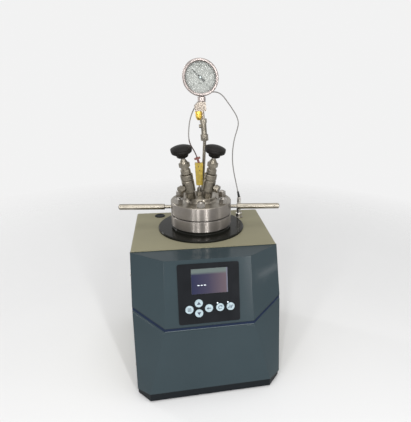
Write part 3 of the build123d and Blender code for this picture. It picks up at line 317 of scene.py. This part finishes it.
def darken_lead(material, right_of, level, colour):
    """Heat-darkened end of the lead, left of one place and below one height."""
    tree = material.node_tree
    shader = tree.nodes["Principled BSDF"]
    rest = shader.inputs["Base Color"].links[0].from_socket
    split = make_node(tree, "ShaderNodeSeparateXYZ")
    tree.links.new(place_of(tree), split.inputs["Vector"])
    both = make_node(tree, "ShaderNodeMath", operation="MULTIPLY")
    for index, (axis, limit) in enumerate((("X", right_of), ("Z", level))):
        test = make_node(tree, "ShaderNodeMath", operation="LESS_THAN")
        test.inputs[1].default_value = limit
        tree.links.new(split.outputs[axis], test.inputs[0])
        tree.links.new(test.outputs["Value"], both.inputs[index])
    painted = paint_over(tree, both.outputs["Value"], rest, colour)
    tree.links.new(painted, shader.inputs["Base Color"])


def line_cover_groove(material):
    """Navy margin below the cover's groove, with a pale band under it that is a painted highlight on
    the lip.
    """
    tree = material.node_tree
    shader = tree.nodes["Principled BSDF"]
    colour = shader.inputs["Base Color"].links[0].from_socket
    split = make_node(tree, "ShaderNodeSeparateXYZ")
    tree.links.new(place_of(tree), split.inputs["Vector"])
    level = split.outputs["X"]
    for operation, value in (
        ("ABSOLUTE", 0.0),
        ("SUBTRACT", WAIST_HALF_WIDTH),
        ("MAXIMUM", 0.0),
        ("MULTIPLY", GROOVE_CLIMB),
        ("ADD", WAIST_HEIGHT),
    ):
        step = make_node(tree, "ShaderNodeMath", operation=operation)
        tree.links.new(level, step.inputs[0])
        step.inputs[1].default_value = value
        level = step.outputs["Value"]
    above = make_node(tree, "ShaderNodeMath", operation="SUBTRACT")
    tree.links.new(split.outputs["Z"], above.inputs[0])
    tree.links.new(level, above.inputs[1])
    # The second band paints a highlight: the lip lighter as if lit from above.
    for middle, half, paint in GROOVE_NAVY_AND_HIGHLIGHT_BANDS:
        band = make_node(tree, "ShaderNodeMath", operation="COMPARE")
        tree.links.new(above.outputs["Value"], band.inputs[0])
        band.inputs[1].default_value = middle
        band.inputs[2].default_value = half
        colour = paint_over(tree, band.outputs["Value"], colour, paint)
    tree.links.new(colour, shader.inputs["Base Color"])


def recolour_above(material, level, colour, steel=False):
    """Another colour above a height in the row's frame: bare plastic, or still steel."""
    tree = material.node_tree
    shader = tree.nodes["Principled BSDF"]
    below = shader.inputs["Base Color"].links[0].from_socket
    split = make_node(tree, "ShaderNodeSeparateXYZ")
    tree.links.new(place_of(tree), split.inputs["Vector"])
    band = make_node(tree, "ShaderNodeMath", operation="GREATER_THAN")
    band.inputs[1].default_value = level
    tree.links.new(split.outputs["Z"], band.inputs[0])
    painted = paint_over(tree, band.outputs["Value"], below, colour)
    tree.links.new(painted, shader.inputs["Base Color"])
    if not steel:
        lower_metal = shader.inputs["Metallic"].default_value
        metal = make_node(tree, "ShaderNodeMapRange", To_Min=lower_metal, To_Max=0)
        tree.links.new(band.outputs["Value"], metal.inputs["Value"])
        tree.links.new(metal.outputs["Result"], shader.inputs["Metallic"])
    return material


connector_steel = recolour_above(
    drawn_steel("connector_steel", (0.55, 0.53, 0.5), (0, 0, 1), 0.25), CONNECTOR_BOOT, BOOT_BLACK
)
recolour_above(materials["tc_yellow"], PLUG_CLAMP, CLAMP_RED)
line_cover_groove(materials["slate_cover"])
darken_lead(materials["cable_grey"], LEAD_HOT_RIGHT, LEAD_HOT_TOP, LEAD_BROWN)
# The lid's top face takes painted shade, a little darker and browner than the turned sides.
lid_steel = recolour_above(
    turned_steel("lid_steel", STEEL, vessel_centre, 0.34, anisotropy=0.9),
    LID_FACE,
    LID_TOP_SHADE,
    steel=True,
)
special = {
    "lid": lid_steel,
    "handle_left": handle_steel,
    "handle_right": handle_steel,
    "cable_connector": connector_steel,
    "gauge_block": drawn_steel("block_steel", (0.28, 0.245, 0.21), (0, 0, 1), 0.3),
}


def make_glass():
    """Clear gauge window with a faint tint and smears, open to the lamps' light."""
    material, tree, shader = principled(
        "gauge_glass", Transmission_Weight=1.0, IOR=1.45, Base_Color=(0.97, 0.99, 0.97, 1)
    )
    smears = noise(tree, place_of(tree), 0.02, 3.0)
    roughness_range(tree, shader, smears, 0.0, 0.01)
    seen = make_node(tree, "ShaderNodeLightPath")
    lit = make_node(tree, "ShaderNodeMath", operation="MAXIMUM")
    tree.links.new(seen.outputs["Is Shadow Ray"], lit.inputs[0])
    tree.links.new(seen.outputs["Is Diffuse Ray"], lit.inputs[1])
    clear = make_node(tree, "ShaderNodeBsdfTransparent", Color=(0.93, 0.95, 0.92, 1))
    pick = make_node(tree, "ShaderNodeMixShader")
    tree.links.new(lit.outputs["Value"], pick.inputs[0])
    tree.links.new(shader.outputs["BSDF"], pick.inputs[1])
    tree.links.new(clear.outputs["BSDF"], pick.inputs[2])
    tree.links.new(pick.outputs["Shader"], tree.nodes["Material Output"].inputs["Surface"])
    return material


materials["gauge_glass"] = make_glass()


def dress_nodes():
    """Every CAD node takes the material of its slot."""
    for part in frame["record"]["subparts"]:
        node = nodes[part["node"]]
        material = materials[part["material_slot"]]
        material = special.get(part["node"], material)
        node.data.materials.clear()
        node.data.materials.append(material)


dress_nodes()

# ---------------------------------------------------------------- cable
CABLE_DIAMETER = 2.2 * MM
CABLE_ROUTE_MM = [
    (-6.71, 52.5, 411.41),
    (-9.18, 52.5, 419.02),
    (-13.6, 53.2, 427.0),
    (-19.0, 54.8, 436.4),
    (-21.2, 58.0, 448.0),
    (-20.3, 62.5, 462.8),
    (-17.9, 68.8, 477.0),
    (-13.5, 77.0, 489.4),
    (-6.6, 84.6, 501.7),
    (3.1, 87.6, 515.6),
    (14.4, 89.6, 526.3),
    (27.4, 90.8, 531.0),
    (39.0, 91.7, 530.6),
    (49.0, 92.5, 524.6),
    (58.8, 93.5, 512.3),
    (69.5, 94.5, 498.0),
    (78.3, 95.1, 484.4),
    (82.2, 95.8, 471.4),
    (79.4, 96.6, 457.5),
    (74.9, 97.4, 443.2),
    (71.9, 98.0, 427.1),
    (70.2, 98.5, 407.6),
    (70.9, 98.8, 385.7),
    (74.6, 99.0, 363.1),
    (79.56, 99.0, 341.14),
    (83.10, 99.0, 324.52),
]


def make_cable():
    """Thermocouple lead on a NURBS line through the route's control points."""
    curve = bpy.data.curves.new("sensor_lead", "CURVE")
    curve.dimensions = "3D"
    curve.bevel_depth = CABLE_DIAMETER / 2
    curve.bevel_resolution = 4
    curve.resolution_u = 6
    curve.use_fill_caps = True
    spline = curve.splines.new("NURBS")
    spline.points.add(len(CABLE_ROUTE_MM) - 1)
    for point, place in zip(spline.points, CABLE_ROUTE_MM):
        point.co = (*(Vector(place) * MM), 1)
    spline.order_u = 3
    spline.use_endpoint_u = True
    cable = bpy.data.objects.new("sensor_lead", curve)
    bpy.context.collection.objects.link(cable)
    curve.materials.append(materials["cable_grey"])
    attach(cable, "base")
    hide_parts("sensor_cable")


make_cable()


# ---------------------------------------------------------------- marks on the faces
FACE_TOP = (0, -96.2, 263.3)
FACE_FOOT = (0, -127.0, 145.0)
PANEL_HEIGHT = 1.2
DISPLAY_HEIGHT = 0.8
KEY_HEIGHT = 2.7
CLEAR = 0.06

face_up = (Vector(FACE_TOP) - Vector(FACE_FOOT)).normalized()
face_frame = Matrix.Translation(Vector(FACE_TOP) * MM) @ (
    Matrix((Vector((1, 0, 0)), face_up, Vector((1, 0, 0)).cross(face_up))).transposed().to_4x4()
)
GAUGE_CENTRE = (4, 72.5, 557.5)
DIAL_FRONT = 4.8
dial_frame = Matrix.Translation(Vector(GAUGE_CENTRE) * MM) @ Matrix.Rotation(pi / 2, 4, "X")


def disc(x, y, radius, sides=24):
    """Outline of a round mark."""
    turns = [2 * pi * i / sides for i in range(sides)]
    return [[(x + radius * cos(turn), y + radius * sin(turn)) for turn in turns]]


def bar(x0, y0, x1, y1, width):
    """Outline of a straight stroke."""
    along = Vector((x1 - x0, y1 - y0)).normalized()
    side = Vector((-along.y, along.x)) * width / 2
    start, end = Vector((x0, y0)), Vector((x1, y1))
    return [[tuple(start - side), tuple(end - side), tuple(end + side), tuple(start + side)]]


def arc(x, y, radius, width, first, last, steps=16):
    """Outlines of a curved stroke, from one angle in degrees to another."""
    turns = [radians(first + (last - first) * i / steps) for i in range(steps + 1)]
    inner, outer = radius - width / 2, radius + width / 2
    return [
        [
            (x + inner * cos(a), y + inner * sin(a)),
            (x + outer * cos(a), y + outer * sin(a)),
            (x + outer * cos(b), y + outer * sin(b)),
            (x + inner * cos(b), y + inner * sin(b)),
        ]
        for a, b in zip(turns, turns[1:])
    ]


def mark(name, outlines, place, height, finish, body):
    """Flat printed mark in mm on a placed face, height above it along the face's normal."""
    mesh = bpy.data.meshes.new(name)
    shape = bmesh.new()
    for outline in outlines:
        shape.faces.new([shape.verts.new((x * MM, y * MM, height * MM)) for x, y in outline])
    bmesh.ops.recalc_face_normals(shape, faces=shape.faces)
    for face in shape.faces:
        if face.normal.z < 0:
            face.normal_flip()
    shape.to_mesh(mesh)
    shape.free()
    piece = bpy.data.objects.new(name, mesh)
    piece.matrix_world = place
    mesh.materials.append(finish)
    bpy.context.collection.objects.link(piece)
    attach(piece, body)
    return piece


print_dark = coated("print_dark", (0.012, 0.022, 0.05), 0.0009, 0.000002, 0.5)
print_black = coated("print_black", (0.02, 0.025, 0.02), 0.0009, 0.000002, 0.5)
print_grey = coated("print_grey", (0.18, 0.18, 0.17), 0.0009, 0.000002, 0.5)
lamp_white = coated("lamp_white", (0.7, 0.76, 0.82), 0.0009, 0.000002, 0.3)


LCD_TOP = (0.11, 0.135, 0.13)
LCD_RIM = (0.13, 0.135, 0.18)


def make_lcd():
    """Unlit screen: navy to mauve across, paler at its top and right, glossy window."""
    material, tree, shader = principled("lcd", Specular_IOR_Level=0.12)
    place = place_of(tree)
    split = make_node(tree, "ShaderNodeSeparateXYZ")
    tree.links.new(place, split.inputs["Vector"])
    across = make_node(tree, "ShaderNodeMapRange", From_Min=-0.031, From_Max=0.035)
    tree.links.new(split.outputs["X"], across.inputs["Value"])
    down = make_node(tree, "ShaderNodeMapRange", From_Min=-0.063, From_Max=-0.017)
    tree.links.new(split.outputs["Y"], down.inputs["Value"])
    field = ramp(
        tree,
        across.outputs["Result"],
        [(0.0, (0.020, 0.023, 0.055)), (0.45, (0.042, 0.038, 0.066)), (0.9, (0.10, 0.075, 0.09))],
    )
    top = ramp(tree, down.outputs["Result"], [(0.76, (0, 0, 0)), (0.86, (1, 1, 1))])
    edge = ramp(tree, across.outputs["Result"], [(0.93, (0, 0, 0)), (0.95, (1, 1, 1))])
    paler = paint_over(tree, top, field, LCD_TOP)
    rimmed = paint_over(tree, edge, paler, LCD_RIM)
    tree.links.new(rimmed, shader.inputs["Base Color"])
    roughness_range(tree, shader, noise(tree, place, 0.01), 0.1, 0.25)
    return material


WINDOW = (-30.9, 32.9, -62.6, -17.2)


def make_screen():
    """Screen window with a row of three dashes."""
    left, right, low, high = WINDOW
    window = [[(left, low), (right, low), (right, high), (left, high)]]
    mark("screen", window, face_frame, DISPLAY_HEIGHT + CLEAR, make_lcd(), "base")
    dashes = []
    for start in (-20.5, -14.8, -9.1):
        dashes += bar(start, -47.0, start + 3.6, -47.0, 1.5)
    mark(
        "screen_dashes", dashes, face_frame, DISPLAY_HEIGHT + 2 * CLEAR, lamp_white, "base"
    )


KEY_PLACES = {
    "key_set": (-36.1, -89.6),
    "key_up": (-19.4, -79.2),
    "key_down": (-19.4, -97.5),
    "key_mode": (-1.7, -89.6),
    "key_stir": (18.2, -89.6),
    "key_heat": (37.0, -89.6),
}


def key_symbols():
    """A plain symbol for each key, round its own centre."""
    bars = []
    for level in (-2.2, 0, 2.2):
        bars += bar(-3.2, level, 3.2, level, 1.1)
    heat = []
    for shift in (-2.6, 0, 2.6):
        heat += arc(shift, 1.4, 1.4, 1.0, -80, 80, 6) + arc(shift, -1.4, 1.4, 1.0, 100, 260, 6)
    return {
        "key_set": bars,
        "key_up": [[(-3.5, -2.2), (3.5, -2.2), (0, 3.2)]],
        "key_down": [[(-3.5, 2.2), (0, -3.2), (3.5, 2.2)]],
        "key_mode": bar(-1.6, 0, 3.8, 0, 1.5) + [[(-4.2, 0), (-1.2, -2.8), (-1.2, 2.8)]],
        "key_stir": arc(0, 0, 3.0, 1.2, 40, 330) + [[(1.1, 1.6), (4.1, 1.0), (3.1, 4.2)]],
        "key_heat": heat,
    }


def make_key_marks():
    """Symbols on the six keys and a small lamp beside each of the right-hand two."""
    for key, outlines in key_symbols().items():
        place = face_frame @ Matrix.Translation((*[v * MM for v in KEY_PLACES[key]], 0))
        height = KEY_HEIGHT + CLEAR
        mark(key + "_symbol", outlines, place, height, print_dark, key + "_cap")
    for key in ("key_stir", "key_heat"):
        x, y = KEY_PLACES[key]
        lamp = disc(x - 4.6, y + 8.2, 1.5)
        mark(key + "_lamp", lamp, face_frame, PANEL_HEIGHT + CLEAR, lamp_white, "base")


# Degrees from the dial's right, turning backwards.
SCALE_START = 225
SCALE_SWEEP = 270
SCALE_STEPS = 40
TICK_END = 26.6
NUMBER_REACH = 18.4


def make_dial_marks():
    """Pressure scale: ticks of three lengths, plain numbers, filling level and pivot cap."""
    ticks = []
    for step in range(SCALE_STEPS + 1):
        turn = radians(SCALE_START - SCALE_SWEEP * step / SCALE_STEPS)
        inner = 22.5 if step % 10 == 0 else 24.0 if step % 5 == 0 else 25.0
        width = 0.9 if step % 10 == 0 else 0.45
        across, up = cos(turn), sin(turn)
        ticks += bar(inner * across, inner * up, TICK_END * across, TICK_END * up, width)
    ticks += arc(0, 0, 26.8, 0.3, SCALE_START - SCALE_SWEEP, SCALE_START, 60)
    mark("dial_scale", ticks, dial_frame, DIAL_FRONT + CLEAR, print_black, "base")
    for step in range(0, SCALE_STEPS + 1, 10):
        turn = radians(SCALE_START - SCALE_SWEEP * step / SCALE_STEPS)
        dial_text(str(step), NUMBER_REACH * cos(turn), NUMBER_REACH * sin(turn), 5.2)
    dial_text("MPa", 0, -11, 4.6)
    level = bar(-17.5, 20.6, 17.5, 20.6, 0.9)
    height = DIAL_FRONT + 2 * CLEAR
    mark("fill_line", level, dial_frame, height, print_grey, "base")
    height = GAUGE_CENTRE[1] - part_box("gauge_pointer")[0].y / MM + CLEAR
    cap = disc(0, 0, 1.8)
    mark("pivot_cap", cap, dial_frame, height, lamp_white, "pointer")


def dial_text(words, x, y, size):
    """Printed characters centred at a place on the dial."""
    data = bpy.data.curves.new("dial_" + words, "FONT")
    data.body = words
    data.size = size * MM
    data.align_x = "CENTER"
    data.align_y = "CENTER"
    data.resolution_u = 2
    letters = bpy.data.objects.new("dial_" + words, data)
    bpy.context.collection.objects.link(letters)
    height = (DIAL_FRONT + CLEAR) * MM
    letters.matrix_world = dial_frame @ Matrix.Translation((x * MM, y * MM, height))
    data.materials.append(print_black)
    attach(letters, "base")


def turned_piece(name, profile, place, finish, body, sides=32):
    """Small lathe-turned piece from (radius, height) points in mm, on a placed axis."""
    mesh = bpy.data.meshes.new(name)
    shape = bmesh.new()
    turns = [2 * pi * i / sides for i in range(sides)]
    rings = []
    for radius, height in profile:
        reach = radius * MM
        corners = [(reach * cos(turn), reach * sin(turn), height * MM) for turn in turns]
        rings.append([shape.verts.new(corner) for corner in corners])
    for low, high in zip(rings, rings[1:]):
        for i in range(sides):
            j = (i + 1) % sides
            shape.faces.new((low[i], low[j], high[j], high[i]))
    shape.faces.new(rings[-1])
    shape.faces.new(list(reversed(rings[0])))
    for face in shape.faces:
        face.smooth = True
    shape.to_mesh(mesh)
    shape.free()
    piece = bpy.data.objects.new(name, mesh)
    piece.matrix_world = place
    mesh.materials.append(finish)
    bpy.context.collection.objects.link(piece)
    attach(piece, body)
    return piece


PLUG_FRONT = 48.5
PLUG_SCREWS = ((-3.8, 393.0), (-1.8, 385.5))


def make_plug_screws():
    """Two small dark screws in the front of the thermocouple plug."""
    profile = [(1.0, -0.2), (1.0, 0.15), (0.7, 0.3)]
    for index, (x, z) in enumerate(PLUG_SCREWS):
        facing = Matrix.Translation(Vector((x, PLUG_FRONT, z)) * MM) @ Matrix.Rotation(pi / 2, 4, "X")
        name = f"plug_screw_{index}"
        turned_piece(name, profile, facing, print_black, "base", sides=16)


VALVE_FOOT = (-5.0, 39.5, 333.0)
VALVE_HALF_PITCH = 15.8
VALVE_LEAN_OUT = 9.2
VALVE_LEAN_FRONT = 8.0
# Radius and height along the stem, from the valve's foot.
KNOB_SKIRT = [
    (8.2, 85.4),
    (10.6, 86.8),
    (11.3, 88.6),
    (11.3, 93.6),
    (16.6, 93.8),
    (18.9, 95.4),
    (19.9, 98.2),
    (19.9, 102.6),
]


def make_knob_skirts():
    """Full, rounded underside of each valve knob."""
    for name, side in (("left", -1), ("right", 1)):
        axis = Vector((side * tan(radians(VALVE_LEAN_OUT)), -tan(radians(VALVE_LEAN_FRONT)), 1))
        foot = Vector(VALVE_FOOT) + Vector((side * VALVE_HALF_PITCH, 0, 0))
        place = Matrix.Translation(foot * MM) @ axis.to_track_quat("Z", "Y").to_matrix().to_4x4()
        finish = materials["knob_black"]
        body = name + "_knob"
        turned_piece(f"knob_skirt_{name}", KNOB_SKIRT, place, finish, body, sides=48)


make_knob_skirts()
make_screen()
make_key_marks()
make_dial_marks()
make_plug_screws()


# ---------------------------------------------------------------- stage and light
FLOOR_SIZE = 8
FLOOR_FADE = (0.5, 1.4)
FLOOR_TONES = [(0.2, (0.77, 0.77, 0.77)), (0.8, (0.80, 0.80, 0.80))]
WHITE = 0.89
ROOM_LIGHT = 0.44


def make_floor():
    """Plain pale floor that melts into the white behind."""
    mesh = bpy.data.meshes.new("floor")
    shape = bmesh.new()
    bmesh.ops.create_grid(shape, x_segments=1, y_segments=1, size=FLOOR_SIZE)
    shape.to_mesh(mesh)
    shape.free()
    floor = bpy.data.objects.new("floor", mesh)
    bpy.context.collection.objects.link(floor)
    material, tree, shader = principled("floor", Roughness=0.9)
    place = place_of(tree)
    tone = noise(tree, place, 0.5, 2.0)
    tree.links.new(ramp(tree, tone, FLOOR_TONES), shader.inputs["Base Color"])
    reach = make_node(tree, "ShaderNodeVectorMath", operation="LENGTH")
    tree.links.new(place, reach.inputs[0])
    fade = make_node(tree, "ShaderNodeMapRange", From_Min=FLOOR_FADE[0], From_Max=FLOOR_FADE[1])
    tree.links.new(reach.outputs["Value"], fade.inputs["Value"])
    clear = make_node(tree, "ShaderNodeBsdfTransparent")
    melt = make_node(tree, "ShaderNodeMixShader")
    tree.links.new(fade.outputs["Result"], melt.inputs[0])
    tree.links.new(shader.outputs["BSDF"], melt.inputs[1])
    tree.links.new(clear.outputs["BSDF"], melt.inputs[2])
    output = tree.nodes["Material Output"]
    tree.links.new(melt.outputs["Shader"], output.inputs["Surface"])
    mesh.materials.append(material)


def make_world():
    """White wherever it is seen, mirrored or looked at through glass; an even soft light."""
    world = bpy.data.worlds.new("studio")
    bpy.context.scene.world = world
    world.use_nodes = True
    tree = world.node_tree
    background = tree.nodes["Background"]
    seen = make_node(tree, "ShaderNodeLightPath")
    white = seen.outputs["Is Camera Ray"]
    for ray in ("Is Glossy Ray", "Is Transmission Ray"):
        either = make_node(tree, "ShaderNodeMath", operation="MAXIMUM")
        tree.links.new(white, either.inputs[0])
        tree.links.new(seen.outputs[ray], either.inputs[1])
        white = either.outputs["Value"]
    pick = make_node(tree, "ShaderNodeMix", data_type="RGBA")
    tree.links.new(white, pick.inputs["Factor"])
    pick.inputs["A"].default_value = (ROOM_LIGHT, ROOM_LIGHT, ROOM_LIGHT, 1)
    pick.inputs["B"].default_value = (WHITE, WHITE, WHITE, 1)
    tree.links.new(pick.outputs["Result"], background.inputs["Color"])


def area_light(name, place, target, size, power):
    """Soft rectangular lamp aimed at a point."""
    data = bpy.data.lights.new(name, "AREA")
    data.shape = "RECTANGLE"
    data.size, data.size_y = size
    data.energy = power
    lamp = bpy.data.objects.new(name, data)
    aim = (Vector(target) - Vector(place)).to_track_quat("-Z", "Y")
    lamp.matrix_world = Matrix.Translation(place) @ aim.to_matrix().to_4x4()
    lamp.visible_camera = False
    bpy.context.collection.objects.link(lamp)


TARGET = Vector((0, 0.05, 0.3))
OVERHEAD_PLACE = (0.0, -0.2, 2.2)
OVERHEAD_SIZE = (1.6, 1.6)
OVERHEAD_WATTS = 18
STRIP_REACH = 1.7
STRIP_HEIGHT = 0.75
STRIP_LENGTH = 1.5
# Name, heading in degrees from the front, width in metres and watts. Turned steel draws
# each strip out into an upright streak.
STRIPS = (
    ("far_left", -128, 0.12, 5),
    ("near_left", -33, 0.05, 7),
    ("middle", -16, 0.05, 9),
    ("right", 15, 0.07, 14),
    ("far_right", 66, 0.04, 2),
)

make_floor()
make_world()
area_light("overhead", OVERHEAD_PLACE, TARGET, OVERHEAD_SIZE, OVERHEAD_WATTS)
for name, heading, width, power in STRIPS:
    turn = radians(heading)
    x, y = STRIP_REACH * sin(turn), 0.05 - STRIP_REACH * cos(turn)
    area_light("strip_" + name, (x, y, STRIP_HEIGHT), TARGET, (width, STRIP_LENGTH), power)

bpy.context.scene.view_settings.view_transform = "Standard"
